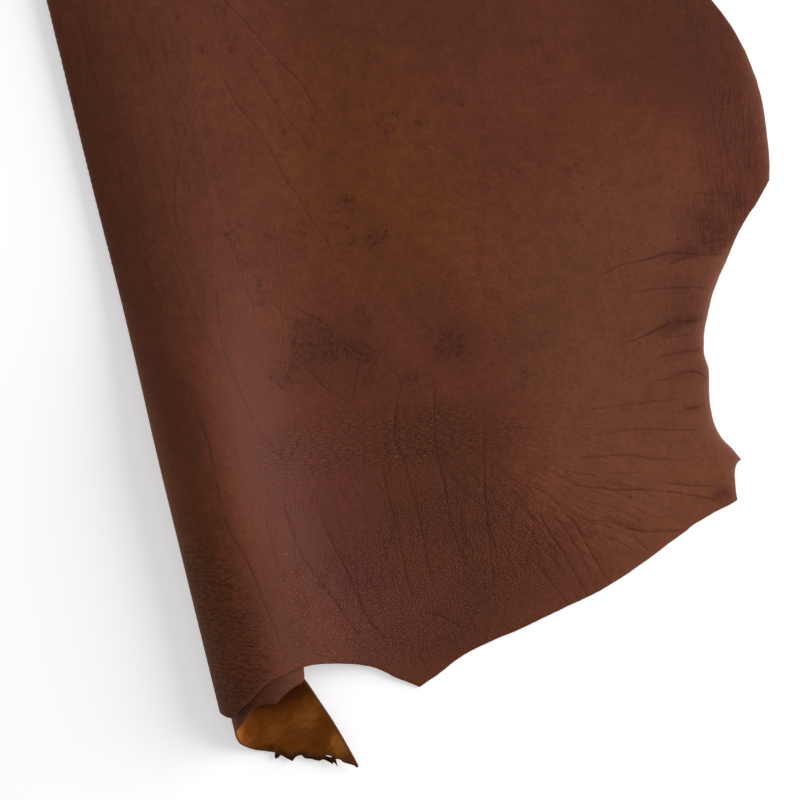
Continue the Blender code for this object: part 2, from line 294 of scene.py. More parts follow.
CREASE_WAVE = 9.0 * MM
CREASE_MEAN = 0.9
CREASE_UNEVEN = 0.30
SHOULDER_AT = 2.2
SHOULDER_SHARE = 0.12

# Small dark pits and small light scuffs: x, y and radius in mm on the hide as it lies
PITS = (
    (356, 383, 1.9), (399, 351, 1.7), (402, 327, 1.8), (391, 327, 1.6), (380, 325, 1.4),
    (382, 303, 1.7), (390, 272, 1.7), (423, 389, 1.5), (321, 396, 1.4), (411, 287, 1.5),
    (414, 278, 1.4), (459, 264, 1.4), (471, 256, 1.5), (427, 437, 1.5), (502, 413, 1.3),
    (554, 389, 1.2), (612, 388, 2.4), (644, 519, 1.5), (646, 491, 1.4), (612, 527, 1.3),
    (577, 582, 1.5), (508, 635, 1.8), (460, 576, 1.5), (545, 466, 1.8), (524, 467, 1.5),
    (155, 711, 2.0), (123, 653, 1.6), (108, 468, 1.8), (79, 475, 1.8), (117, 607, 1.6),
    (192, 754, 2.0), (322, 588, 1.7), (284, 470, 2.2), (366, 581, 1.5), (371, 613, 1.5),
)
SCUFFS = (
    (256, 741, 1.1), (372, 551, 1.3), (375, 548, 1.0), (384, 404, 1.1), (114, 156, 1.3),
    (255, 229, 1.3), (163, 304, 0.9), (730, 582, 0.9),
)
SPOT_RINGS = (0.55, 1.0)

# Where the grain and the tone change, and where light, shade and sheen are painted: soft ellipses,
# summed up for each of the mesh's attributes.
# x, y, radius across, radius along in mm, strength, and a turn in degrees where it has one. An x
# below LOOSE_END_BELOW is the distance along itself, for the roll's near end and the loose end.
LOOSE_END_BELOW = -300
ZONE_MOST = 1.2
ZONES = {
    "pebble": (
        (300, 90, 170, 120, 1.0), (200, 70, 140, 130, 0.8), (130, 90, 90, 190, 0.8),
        (350, 120, 100, 90, 0.5), (250, 210, 130, 90, 0.6), (165, 200, 80, 100, -0.6),
        (450, 130, 100, 90, -0.5), (-495, 12, 55, 45, 0.5), (215, 345, 70, 60, 0.5),
    ),
    "wall": (
        (20, 70, 75, 210, 1.0), (-30, 40, 120, 200, 0.6), (-510, 10, 60, 40, 0.6),
    ),
    "ridges": (
        (225, 255, 160, 55, 1.0, -8), (330, 235, 110, 50, 0.7, -10), (430, 205, 90, 45, 0.4, -10),
        (140, 235, 70, 60, 0.5),
    ),
    "fan": (
        (425, 125, 120, 88, 1.0, -14), (340, 140, 90, 100, 0.9), (500, 110, 80, 50, 0.4, -15),
        (430, 235, 130, 50, 0.5, -8),
    ),
    "belly": (
        (270, 150, 210, 170, 1.0), (130, 160, 130, 220, 0.6),
    ),
    "hatch": (
        (690, 465, 55, 90, 1.0), (715, 500, 30, 70, 0.6), (653, 400, 60, 42, 0.9),
        (605, 310, 50, 70, 0.5), (690, 590, 50, 100, 0.6),
    ),
    "patch": (
        (257, 385, 18, 20, 1.0), (198, 374, 36, 36, 1.15), (225, 366, 70, 14, 0.8, -38),
        (176, 372, 12, 44, 0.7, -20), (216, 368, 12, 30, 1.0, 30), (240, 352, 44, 30, 0.6),
        (180, 350, 40, 20, 0.6, 20), (151, 345, 22, 22, 1.0), (158, 438, 26, 24, 0.8, 20),
        (178, 494, 24, 20, 0.5), (141, 508, 20, 22, 0.9), (150, 470, 22, 20, 0.6),
        (290, 309, 20, 24, 0.8), (340, 340, 26, 26, 1.1), (354, 328, 14, 20, 1.0),
        (319, 361, 10, 16, 0.9), (325, 327, 8, 20, 0.5), (337, 591, 26, 24, 0.7),
        (366, 582, 10, 14, 0.7), (270, 511, 18, 15, 1.1), (290, 468, 28, 14, 1.1, 28),
        (344, 480, 14, 18, 0.6), (186, 711, 16, 18, 0.8), (184, 748, 14, 20, 1.0),
        (156, 710, 8, 8, 1.0), (222, 606, 14, 9, 1.0), (262, 607, 44, 14, 0.5, -20),
        (410, 601, 34, 16, 0.6), (323, 657, 20, 24, 0.5), (519, 490, 20, 14, 0.5),
        (524, 468, 9, 9, 0.4), (545, 466, 11, 9, 0.4), (512, 434, 9, 18, 0.7),
        (576, 582, 16, 16, 0.3), (508, 635, 12, 12, 0.6), (412, 280, 16, 16, 0.7),
        (380, 400, 60, 60, 0.3), (230, 480, 60, 50, 0.3),
    ),
    "bruise": (
        (205, 355, 80, 62, 0.35), (345, 335, 46, 46, 0.7), (625, 371, 50, 14, 1.0, -4),
        (650, 388, 34, 30, 0.7), (588, 297, 40, 10, 1.0, 4), (596, 322, 30, 40, 0.3),
        (585, 265, 30, 8, 0.5), (583, 242, 26, 8, 0.6), (585, 204, 20, 8, 0.7),
        (592, 104, 16, 14, 1.0), (580, 590, 34, 26, 0.5), (665, 560, 60, 80, 0.35),
        (690, 460, 46, 80, 0.8), (655, 400, 60, 40, 0.5),
    ),
    # Painted sheen along the right edges, where they catch the light
    "painted_edge_sheen": (
        (640, 280, 70, 150, 1.2), (610, 170, 50, 80, 1.2), (735, 500, 30, 110, 0.6),
    ),
    # Purple-brown tone, partly a painted sheen on the ramp and along the right edges
    "purple_and_sheen": (
        (160, 200, 110, 150, 0.7), (120, 430, 60, 200, 0.3), (180, 60, 120, 90, 0.4),
        (183, 205, 55, 55, 0.45), (200, 10, 120, 50, 0.25), (700, 450, 60, 260, 0.4),
        (400, 30, 190, 60, 0.25, 14), (620, 290, 50, 130, 0.5), (250, 90, 120, 100, 0.4),
        (-510, 10, 60, 60, 0.2),
    ),
    "warm": (
        (4, 220, 45, 300, 1.0), (290, 560, 150, 190, 0.8), (400, 420, 140, 140, 0.4),
        (30, 150, 40, 200, 0.9),
    ),
    "tan": (
        (560, 250, 210, 300, 1.2), (80, 600, 110, 320, 0.4), (560, 120, 130, 110, 0.4),
        (400, 30, 200, 60, 0.4, 14),
    ),
    # Lighter tone, and painted light where the lamp's falloff leaves the hide brighter
    "light": (
        (540, 180, 190, 200, 0.85), (590, 130, 110, 110, 0.9), (660, 400, 80, 150, 0.7),
        (570, 440, 110, 150, 0.45), (430, 60, 150, 100, 0.5), (700, 450, 60, 100, 0.55),
        (430, 160, 120, 100, 0.6), (210, 60, 120, 80, 0.5), (248, 90, 60, 65, 0.35),
        (180, 100, 120, 60, 0.2), (412, 436, 80, 80, 0.3), (90, 210, 40, 50, 0.2),
        (190, 240, 80, 50, 0.4), (215, 140, 60, 50, 0.35), (205, 50, 60, 50, 0.3),
        (410, 395, 70, 60, 0.2), (340, 120, 90, 80, 0.5),
    ),
    # Darker tone, and painted shade: towards the far end, on the crest, on the left wall and on the
    # second turn inside the roll
    "darker_and_painted_shade": (
        (450, 110, 70, 80, 0.25), (110, 310, 80, 200, 0.5), (200, 640, 130, 200, 0.15),
        (420, 780, 330, 230, 0.55), (181, 560, 70, 70, 0.2), (660, 640, 120, 150, 0.8),
        (250, 430, 120, 120, 0.3), (40, 330, 40, 90, 0.6), (50, 205, 40, 70, 0.45),
        (20, 90, 40, 130, 0.35), (150, 160, 55, 45, 0.35), (257, 315, 50, 40, 0.35),
        (160, 474, 50, 60, 0.30), (300, 75, 30, 40, 0.3), (110, 770, 110, 90, 0.4),
        (20, 620, 60, 320, 0.5), (80, 600, 80, 260, 0.5), (85, 80, 50, 110, 0.4),
        (-510, 10, 70, 60, 1.2),
    ),
    "streaks": (
        (90, 640, 150, 260, 1.0), (60, 380, 80, 160, 0.6),
    ),
    # Painted shadow of the roll's outer turns over the flesh side
    "shade": (
        (-640, 14, 70, 30, 1.2), (-672, -52, 14, 16, 0.5), (-610, -52, 40, 12, 0.7),
    ),
    # Painted light where the lamp reaches the flesh, on the inner left wall and the loose end
    "painted_light": (
        (-580, -18, 16, 22, 1.0), (-662, -28, 24, 14, 0.5), (-692, -64, 12, 24, 1.0),
    ),
}

# The flat hide never quite lies flat.
SWELL_WAVES = (
    # wave length in metres, turn in degrees, shift
    (0.310, 0.5, 0.0),
    (0.190, 38.0, 1.7),
    (0.145, -52.0, 0.4),
    (0.105, 81.0, 2.9),
)
SWELL_HEIGHT = 1.3 * MM
SWELL_FROM = -0.30
SWELL_FADE = 0.05

# Mesh sizes
OUTLINE_STEP = 2.2 * MM
STRIP_STEP = OUTLINE_STEP * 0.45
CORNER_STEP = OUTLINE_STEP * 0.6
HIDDEN_OUTLINE_STEP = 5.0 * MM
INSET = 0.9 * MM
RING_GAP = 0.8 * MM
RING_CLEAR = INSET * 0.6
EDGE_ROUND = 0.35 * MM
RIM_OUT = EDGE_ROUND * 0.8
EXTRA_GAP = 0.55 * MM
EXTRA_CLEAR = 0.7 * MM
TOP_SPACING = 4.3 * MM
HIDDEN_SPACING = 7.5 * MM
FLESH_SPACING = 8.0 * MM
LATTICE_SHAKE = 0.12
LATTICE_CLEAR = 0.55
CDT_REACH = 1e-7
HIDDEN_FROM = -0.345
VISIBLE_END_TO = 0.05
RIM_WIDTH = 7.0 * MM

# Colours
BROWN = (0.141, 0.0378, 0.0168, 1.0)
WARM_BROWN = (0.150, 0.0415, 0.0126, 1.0)
TAN_BROWN = (0.150, 0.0465, 0.0214, 1.0)
PURPLE_BROWN = (0.124, 0.0312, 0.0222, 1.0)
# The colour of a painted sheen along the right edges
PAINTED_SHEEN_BROWN = (0.270, 0.1050, 0.0700, 1.0)
BRUISE_BROWN = (0.084, 0.0198, 0.0130, 1.0)
DARK_BROWN = (0.055, 0.0118, 0.0072, 1.0)
CREASE_BROWN = (0.058, 0.0130, 0.0082, 1.0)
SCUFF_COLOUR = (0.50, 0.20, 0.060, 1.0)
FLESH_LIGHT = (0.325, 0.1160, 0.0215, 1.0)
FLESH_GOLD = (0.148, 0.0405, 0.0050, 1.0)
FLESH_DARK = (0.068, 0.0165, 0.0011, 1.0)
STRIP_DARK = (0.020, 0.0068, 0.0032, 1.0)
STRIP_LIGHT = (0.085, 0.0330, 0.0150, 1.0)
EDGE_COLOUR = (0.118, 0.0400, 0.0165, 1.0)
EDGE_SHADE = 0.6
WHITE = (1.0, 1.0, 1.0, 1.0)

# The floor, the light and the camera, which has the photo's frame
FLOOR_HALF = 30.0
FLOOR_COLOUR = (0.90, 0.90, 0.90, 1.0)
FLOOR_GLOW = 0.40
KEY_POWER = 411.0
KEY_SIZE = 5.0
KEY_OFFSET = (5.4, 0.8, 2.2)
SKY_AT_HORIZON = 0.62
SKY_OVERHEAD = 0.22
CAMERA_HEIGHT = 2.2
LENS = 90.0
SENSOR = 36.0
ROLL_TILT = math.radians(13.75)
VIEW_CENTRE = (0.2739, 0.2886)

# The grain: the fan's strokes turn round a focus in mm, and the wall has a wrinkle for each 6.5 mm
# down the photo.
FAN_FOCUS = (10.0, 251.0, 0.0)
FAN_REACH = 140.0
WRINKLE_STEP = (math.sin(ROLL_TILT) / 6.5, math.cos(ROLL_TILT) / 6.5, 0.0)
DARKEST = 0.8


def far_share(y):
    """How much of the far end's section there is at y, from 0 to 1."""
    t = np.clip((y - NEAR_FORM_TO) / (FAR_FORM_FROM - NEAR_FORM_TO), 0.0, 1.0)
    return t * t * (3.0 - 2.0 * t)


def run_lengths(line):
    """The length of each step of a line, and the distance along it at each point."""
    steps = np.hypot(*np.diff(line, axis=0).T)
    return steps, np.concatenate(((0.0,), np.cumsum(steps)))


def right_of(ahead):
    """Unit vectors to the right of the given directions."""
    ahead = ahead / np.maximum(np.hypot(*ahead.T), TINY)[:, None]
    return np.stack((ahead[:, 1], -ahead[:, 0]), axis=1)


class Roll:
    """The rolled form: where each place on the pattern lies, worked out once as a table."""

    steps_per_pole = 16
    share_rows = 41
    step = 1.0 * MM
    first = -0.725
    last = 0.060
    run_out = 0.100
    normal_reach = 0.6 * MM
    # Distances along: the outer turn's underside, the crest, and the inner turn's floor
    outer_from = -0.40
    crest = -0.15
    inner_to = -0.575

    def __init__(self):
        rows = np.array(SECTION)
        self.near, self.far = rows[:, 0:2], rows[:, 2:4]
        self.alongs = np.arange(self.first, self.last, self.step)
        shares = np.linspace(0.0, 1.0, self.share_rows)
        self.table = np.array([self.section_row(share) for share in shares])

    def section_row(self, share):
        """The section's x and z at each of the table's distances along, at one share."""
        poles = self.near + (self.far - self.near) * share
        count = (len(poles) - 3) * self.steps_per_pole
        places = np.linspace(1.0, len(poles) - 2.0, count + 1)
        first = np.clip(places.astype(int), 1, len(poles) - 3)
        t = (places - first)[:, None]
        points = ((1.0 - t) ** 3 * poles[first - 1]
                  + (3.0 * t ** 3 - 6.0 * t ** 2 + 4.0) * poles[first]
                  + (-3.0 * t ** 3 + 3.0 * t ** 2 + 3.0 * t + 1.0) * poles[first + 1]
                  + t ** 3 * poles[first + 2]) / 6.0
        end_step = points[-1] - points[-2]
        beyond = points[-1] + end_step / np.hypot(*end_step) * self.run_out
        before = points[0] + (self.run_out, 0.0)
        points = np.vstack((before, points, beyond))
        along = points[0, 0] - FLOOR_LINE - run_lengths(points)[1]
        x = np.interp(self.alongs, along[::-1], points[::-1, 0])
        z = np.interp(self.alongs, along[::-1], points[::-1, 1])
        return np.stack((x, z), axis=1)

    def middle(self, along, y):
        """Points in the middle of the thickness, for arrays of places on the pattern."""
        row = far_share(y) * (self.share_rows - 1)
        low = np.clip(row.astype(int), 0, self.share_rows - 2)
        part = (row - low)[:, None]
        place = np.clip((along - self.first) / self.step, 0.0, len(self.alongs) - 1.001)
        left = place.astype(int)
        rest = (place - left)[:, None]
        below = self.table[low, left] * (1.0 - rest) + self.table[low, left + 1] * rest
        above = self.table[low + 1, left] * (1.0 - rest) + self.table[low + 1, left + 1] * rest
        found = below * (1.0 - part) + above * part
        on_floor = along >= self.alongs[-2]
        x = np.where(on_floor, along + FLOOR_LINE, found[:, 0])
        z = np.where(on_floor, THICKNESS / 2.0, found[:, 1])
        return np.stack((x, y, z), axis=1)

    def normals(self, along, y):
        """Unit normals on the grain side."""
        reach = self.normal_reach
        across = self.middle(along + reach, y) - self.middle(along - reach, y)
        up = self.middle(along, y + reach) - self.middle(along, y - reach)
        normal = np.cross(across, up)
        return normal / np.linalg.norm(normal, axis=1)[:, None]

    def section_at(self, y):
        """The section's x and z at each of the table's distances along, at y."""
        row = float(far_share(y)) * (self.share_rows - 1)
        low = min(int(row), self.share_rows - 2)
        return self.table[low] * (1.0 - row + low) + self.table[low + 1] * (row - low)

    def top_place(self, x, y):
        """The place on the pattern that shows from above at x, y in mm."""
        x, y = x * MM, y * MM
        section = self.section_at(y)
        outer = self.alongs > self.outer_from
        xs, alongs = section[outer, 0], self.alongs[outer]
        if x > xs[-1]:
            return x - FLOOR_LINE, y
        start = int(np.argmin(np.where(alongs < self.crest, xs, 1.0)))
        return float(np.interp(x, xs[start:], alongs[start:])), y

    def inner_along(self, x, y):
        """Distance along of the place on the inner floor or the loose end at x, y in metres."""
        section = self.section_at(y)
        inner = self.alongs < self.inner_to
        xs, alongs = section[inner, 0][::-1], self.alongs[inner][::-1]
        start = int(np.argmin(xs))
        return float(np.interp(x, xs[start:], alongs[start:]))


def smooth_run(points, step):
    """Points about a step apart on a smooth curve through the given ones, with both ends."""
    points = np.array(points, float)
    lengths, at = run_lengths(points)
    if len(points) == 2:
        slopes = np.repeat((points[1:] - points[:1]) / lengths[0], 2, axis=0)
    else:
        inner = (points[2:] - points[:-2]) / (at[2:] - at[:-2])[:, None]
        first = 1.5 * (points[1] - points[0]) / lengths[0] - 0.5 * inner[0]
        last = 1.5 * (points[-1] - points[-2]) / lengths[-1] - 0.5 * inner[-1]
        slopes = np.vstack((first, inner, last))
    count = max(int(round(at[-1] / step)), 1)
    places = np.linspace(0.0, at[-1], count + 1)
    left = np.clip(np.searchsorted(at, places, side="right") - 1, 0, len(points) - 2)
    width = lengths[left][:, None]
    t = ((places - at[left]) / lengths[left])[:, None]
    return (points[left] * (1.0 + 2.0 * t) * (1.0 - t) ** 2
            + slopes[left] * width * t * (1.0 - t) ** 2
            + points[left + 1] * t * t * (3.0 - 2.0 * t)
            + slopes[left + 1] * width * t * t * (t - 1.0))


def smooth_line(rows, step):
    """The rows' places as one line, smooth between its sharp rows."""
    line = []
    run = [rows[0][:2]]
    for row in rows[1:]:
        run.append(row[:2])
        if SHARP in row or row is rows[-1]:
            line.extend(smooth_run(run, step)[:-1])
            run = [row[:2]]
    line.append(np.array(rows[-1][:2]))
    return np.array(line)


def waviness(length, reach, depth, seed):
    """A random wave as a function of distance, with a knot at each reach."""
    draw = np.random.default_rng(seed)
    knots = int(length / reach) + 3
    heights = draw.uniform(-depth, depth, knots)
    return lambda s: np.interp(s, np.arange(knots) * reach, heights)


def ragged(line, depth, seed):
    """The line with its points pushed a little to either side, as leather cut by hand is."""
    at = run_lengths(line)[1]
    coarse = waviness(at[-1], COARSE_WAVE, depth, seed)
    fine = waviness(at[-1], FINE_WAVE, depth * FINE_SHARE, seed + 1)
    push = coarse(at) + fine(at)
    ends = np.minimum(at, at[-1] - at) / WAVE_FADE
    return line + right_of(np.gradient(line, axis=0)) * (push * np.clip(ends, 0.0, 1.0))[:, None]


def outline(roll):
    """The pattern's outline as places along, y: counter-clockwise, and the slit clockwise."""
    def cut(rows, step, depth, seed):
        return ragged(smooth_line(rows, step), depth, seed)

    near = cut(NEAR_EDGE, OUTLINE_STEP, NEAR_RAGGED, 11)
    strip = cut((NEAR_EDGE[-1],) + TORN_STRIP, STRIP_STEP, STRIP_RAGGED, 21)
    corner = cut((TORN_STRIP[-1],) + LONG_CORNER, CORNER_STEP, CORNER_RAGGED, 31)
    loose_rows = [LONG_CORNER[-1]] + [(roll.inner_along(x, y), y) for x, y in LOOSE_EDGE]
    seen = [row for row in loose_rows if row[1] < VISIBLE_END_TO]
    unseen = loose_rows[len(seen) - 1:]
    loose = np.vstack((smooth_line(seen, OUTLINE_STEP)[:-1],
                       smooth_line(unseen, HIDDEN_OUTLINE_STEP)))
    far = smooth_line((loose_rows[-1],) + FAR_EDGE, HIDDEN_OUTLINE_STEP)
    flank = ()
    for step in range(FLANK_STEPS, -1, -1):
        turn = FLANK_FROM + (FLANK_TO - FLANK_FROM) * step / FLANK_STEPS
        flank += ((FLANK_CENTRE[0] + FLANK_RADIUS * math.cos(turn),
                   FLANK_CENTRE[1] + FLANK_RADIUS * math.sin(turn)),)
    right_rows = [FAR_EDGE[-1]]
    for x, *others in RIGHT_EDGE_ABOVE_FLANK + flank + RIGHT_EDGE_BELOW_FLANK:
        right_rows.append((x - FLOOR_LINE, *others))
    right_rows.append(NEAR_EDGE[0])
    right = cut(right_rows, OUTLINE_STEP, RIGHT_RAGGED, 41)
    clockwise = np.vstack([line[:-1] for line in (near, strip, corner, loose, far, right)])
    return clockwise[::-1], np.array(SLIT)


def inside(points, loops):
    """Which points lie inside the outline and outside the slit."""
    found = np.zeros(len(points), bool)
    for loop in loops:
        for (x0, y0), (x1, y1) in zip(loop, np.roll(loop, -1, axis=0)):
            if y0 == y1:
                continue
            low, high = min(y0, y1), max(y0, y1)
            level = (points[:, 1] >= low) & (points[:, 1] < high)
            crossing = x0 + (points[level, 1] - y0) * (x1 - x0) / (y1 - y0)
            found[np.flatnonzero(level)[points[level, 0] < crossing]] ^= True
    return found


def nearest(points, targets):
    """Distance from each point to the nearest target."""
    tree = KDTree(len(targets))
    for index, (x, y) in enumerate(targets):
        tree.insert((x, y, 0.0), index)
    tree.balance()
    return np.array([tree.find((x, y, 0.0))[2] for x, y in points])


def lattice(spacing, low, high):
    """A triangular lattice over a box, each point moved a little so that no rows show."""
    rise = spacing * math.sqrt(3.0) / 2.0
    x, y = np.meshgrid(np.arange(low[0], high[0], spacing), np.arange(low[1], high[1], rise))
    x[1::2] += spacing / 2.0
    points = np.stack((x.ravel(), y.ravel()), axis=1)
    draw = np.random.default_rng(7)
    return points + draw.uniform(-LATTICE_SHAKE, LATTICE_SHAKE, points.shape) * spacing


def crease_lines(roll):
    """The creases on the pattern: depth and half width in metres, darkness, and the line."""
    lines = []
    for number, (depth, width, dark, *places) in enumerate(CREASES):
        rows = [roll.top_place(x, y) for x, y in zip(places[::2], places[1::2])]
        line = ragged(smooth_run(rows, CREASE_STEP), CREASE_WANDER, 300 + 2 * number)
        lines.append((depth * MM, width * MM, dark, line))
    return lines


def crease_points(lines):
    """Mesh points on each crease and on both its sides, so that the mesh can bend there."""
    points = []
    for _, width, _, line in lines:
        side = right_of(np.gradient(line, axis=0))
        points += [line + side * width * offset for offset in CREASE_ROWS]
    return np.vstack(points)


def spot_points(roll):
    """Centres and rings of mesh points for the pits and scuffs."""
    points = []
    for x, y, radius in PITS + SCUFFS:
        centre = np.array(roll.top_place(x, y))
        points.append(centre[None])
        for share in SPOT_RINGS:
            turns = np.arange(6) * math.pi / 3.0 + share
            ring = np.stack((np.cos(turns), np.sin(turns)), axis=1)
            points.append(centre + ring * radius * MM * share)
    return np.vstack(points)


def spread_out(points, gap):
    """The points without those that fall in the same small cell as an earlier one."""
    cells = np.round(points / gap).astype(np.int64)
    _, first = np.unique(cells, axis=0, return_index=True)
    return points[np.sort(first)]


def segment_distances(points, line):
    """For each point its distance to the line, the distance along it there, and its length."""
    lengths, at = run_lengths(line)
    spans = np.diff(line, axis=0)
    offsets = points[:, None, :] - line[None, :-1]
    t = np.clip((offsets * spans[None]).sum(-1) / (lengths ** 2)[None], 0.0, 1.0)
    gaps = offsets - t[..., None] * spans[None]
    distances = np.hypot(gaps[..., 0], gaps[..., 1])
    best = distances.argmin(axis=1)
    rows = np.arange(len(points))
    return distances[rows, best], at[best] + t[rows, best] * lengths[best], lengths.sum()


def crease_relief(points, lines):
    """Depth of the creases, their darkness and their lightness at places on the pattern."""
    relief, dark, light = np.zeros((3, len(points)))
    for number, (depth, width, darkness, line) in enumerate(lines):
        reach = CREASE_REACH * width
        low, high = line.min(0) - reach, line.max(0) + reach
        near = np.flatnonzero(((points > low) & (points < high)).all(axis=1))
        if len(near) == 0:
            continue
        distance, at, length = segment_distances(points[near], line)
        uneven = waviness(length, CREASE_WAVE, CREASE_UNEVEN, 100 + number)
        fade = min(CREASE_FADE_SHARE * length, CREASE_FADE)
        ends = np.clip(np.minimum(at, length - at) / fade, 0.0, 1.0)
        strength = ends * (CREASE_MEAN + uneven(at))
        trough = np.exp(-(distance / width) ** 2)
        shoulder = np.exp(-((distance - SHOULDER_AT * width) / width) ** 2)
        relief[near] += depth * strength * (SHOULDER_SHARE * shoulder - trough)
        dark[near] = np.maximum(dark[near], darkness * strength * trough)
        light[near] = np.maximum(light[near], -darkness * strength * trough)
    return relief, dark, light


def spot_field(points, spots, roll):
    """How much each place on the pattern belongs to one of the spots, from 0 to 1."""
    field = np.zeros(len(points))
    for x, y, radius in spots:
        distance = np.hypot(*(points - roll.top_place(x, y)).T) / (radius * MM)
        field = np.maximum(field, np.clip(1.0 - distance ** 2, 0.0, 1.0))
    return field


def zone_field(points, zones, roll):
    """Strength of one attribute at places on the pattern: the sum of its soft ellipses."""
    total = np.zeros(len(points))
    for x, y, across, up, strength, *turn in zones:
        centre = (x * MM, y * MM) if x < LOOSE_END_BELOW else roll.top_place(x, y)
        angle = math.radians(turn[0]) if turn else 0.0
        offset = points - centre
        a = (offset[:, 0] * math.cos(angle) + offset[:, 1] * math.sin(angle)) / (across * MM)
        b = (offset[:, 1] * math.cos(angle) - offset[:, 0] * math.sin(angle)) / (up * MM)
        share = np.clip(1.0 - a * a - b * b, 0.0, 1.0)
        total += strength * share * share * (3.0 - 2.0 * share)
    return np.clip(total, 0.0, ZONE_MOST)


def strip_field(places):
    """How much a place belongs to the torn strip at the loose end's near edge, from 0 to 1."""
    along, y = places.T
    height = np.interp(along, *np.transpose(STRIP_ROOT), left=-1.0, right=-1.0)
    in_strip = (along > STRIP_FROM) & (along < STRIP_TO)
    return np.where(in_strip, np.clip((height - y) / STRIP_FADE + 0.5, 0.0, 1.0), 0.0)


def swell(along, y):
    """Slow unevenness of the flat hide, in metres."""
    total = np.zeros(len(along))
    for length, turn, shift in SWELL_WAVES:
        angle = math.radians(turn)
        run = along * math.cos(angle) + y * math.sin(angle)
        total += length * np.sin(2.0 * math.pi * run / length + shift)
    total = 0.5 + 0.5 * total / sum(row[0] for row in SWELL_WAVES)
    on_top = np.clip((along - SWELL_FROM) / SWELL_FADE, 0.0, 1.0)
    return SWELL_HEIGHT * total * on_top


def loop_edges(loops):
    """Pairs of neighbours on each loop, where the loops' points are numbered one after another."""
    edges = []
    for loop in loops:
        start, count = len(edges), len(loop)
        edges += [(start + index, start + (index + 1) % count) for index in range(count)]
    return edges


def triangulate(points, loops):
    """Triangles inside the loops, counter-clockwise; the loops' points come first in points."""
    vectors = [Vector((x, y)) for x, y in points]
    _, _, faces, origins, _, _ = delaunay_2d_cdt(vectors, loop_edges(loops), [], 0, CDT_REACH)
    back = [origin[0] if origin else -1 for origin in origins]
    triangles = np.array([[back[index] for index in face] for face in faces])
    triangles = triangles[(triangles >= 0).all(axis=1)]
    triangles = triangles[inside(points[triangles].mean(axis=1), loops)]
    a, b, c = (points[triangles[:, column]] for column in range(3))
    ab, ac = b - a, c - a
    turned = ab[:, 0] * ac[:, 1] - ab[:, 1] * ac[:, 0] < 0.0
    triangles[turned] = triangles[turned][:, ::-1]
    return triangles


def inset_points(loop, gap):
    """Points just inside a loop, whose inside is on its left."""
    return loop - right_of(np.roll(loop, -1, axis=0) - np.roll(loop, 1, axis=0)) * gap


def hidden(points):
    """Which places on the pattern are inside the roll or under it, and never show well."""
    return (points[:, 0] < HIDDEN_FROM) & (points[:, 1] > VISIBLE_END_TO)


def side_points(loops, fillings, extra=None):
    """All mesh points of one side: the outline first, then rings, extra points and lattices. Each
    filling is a spacing and whether it is for the hidden places, or None for all places."""
    border = np.vstack(loops)
    rings = spread_out(np.vstack([inset_points(loop, INSET) for loop in loops]), RING_GAP)
    rings = rings[inside(rings, loops)]
    rings = rings[nearest(rings, border) > RING_CLEAR]
    fixed = np.vstack((border, rings))
    if extra is not None:
        extra = spread_out(extra, EXTRA_GAP)
        extra = extra[inside(extra, loops)]
        fixed = np.vstack((fixed, extra[nearest(extra, fixed) > EXTRA_CLEAR]))
    filling = []
    for spacing, out_of_sight in fillings:
        grid = lattice(spacing, border.min(0), border.max(0))
        if out_of_sight is not None:
            grid = grid[hidden(grid) == out_of_sight]
        grid = grid[inside(grid, loops)]
        filling.append(grid[nearest(grid, fixed) > LATTICE_CLEAR * spacing])
    return np.vstack([fixed] + filling)


def side_surface(roll, places, border, side, relief=0.0):
    """A side's points in space, from its places; the side is 1 for the grain, -1 for the flesh."""
    share = np.clip(nearest(places, border) / INSET, 0.0, 1.0)
    raised = THICKNESS / 2.0 - EDGE_ROUND * (1.0 - share)
    height = side * raised + swell(*places.T) + relief * share
    return roll.middle(*places.T) + roll.normals(*places.T) * height[:, None]


def origin_shift():
    """From the design's places to the solid's frame, by the solid's own box."""
    low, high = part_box(NODE)
    return np.array((high.x - FLANK_CENTRE[0] - FLANK_RADIUS, low.y - LOWEST_Y, 0.0))


def add_object(name, data):
    """A new object in the scene."""
    item = bpy.data.objects.new(name, data)
    bpy.context.scene.collection.objects.link(item)
    return item


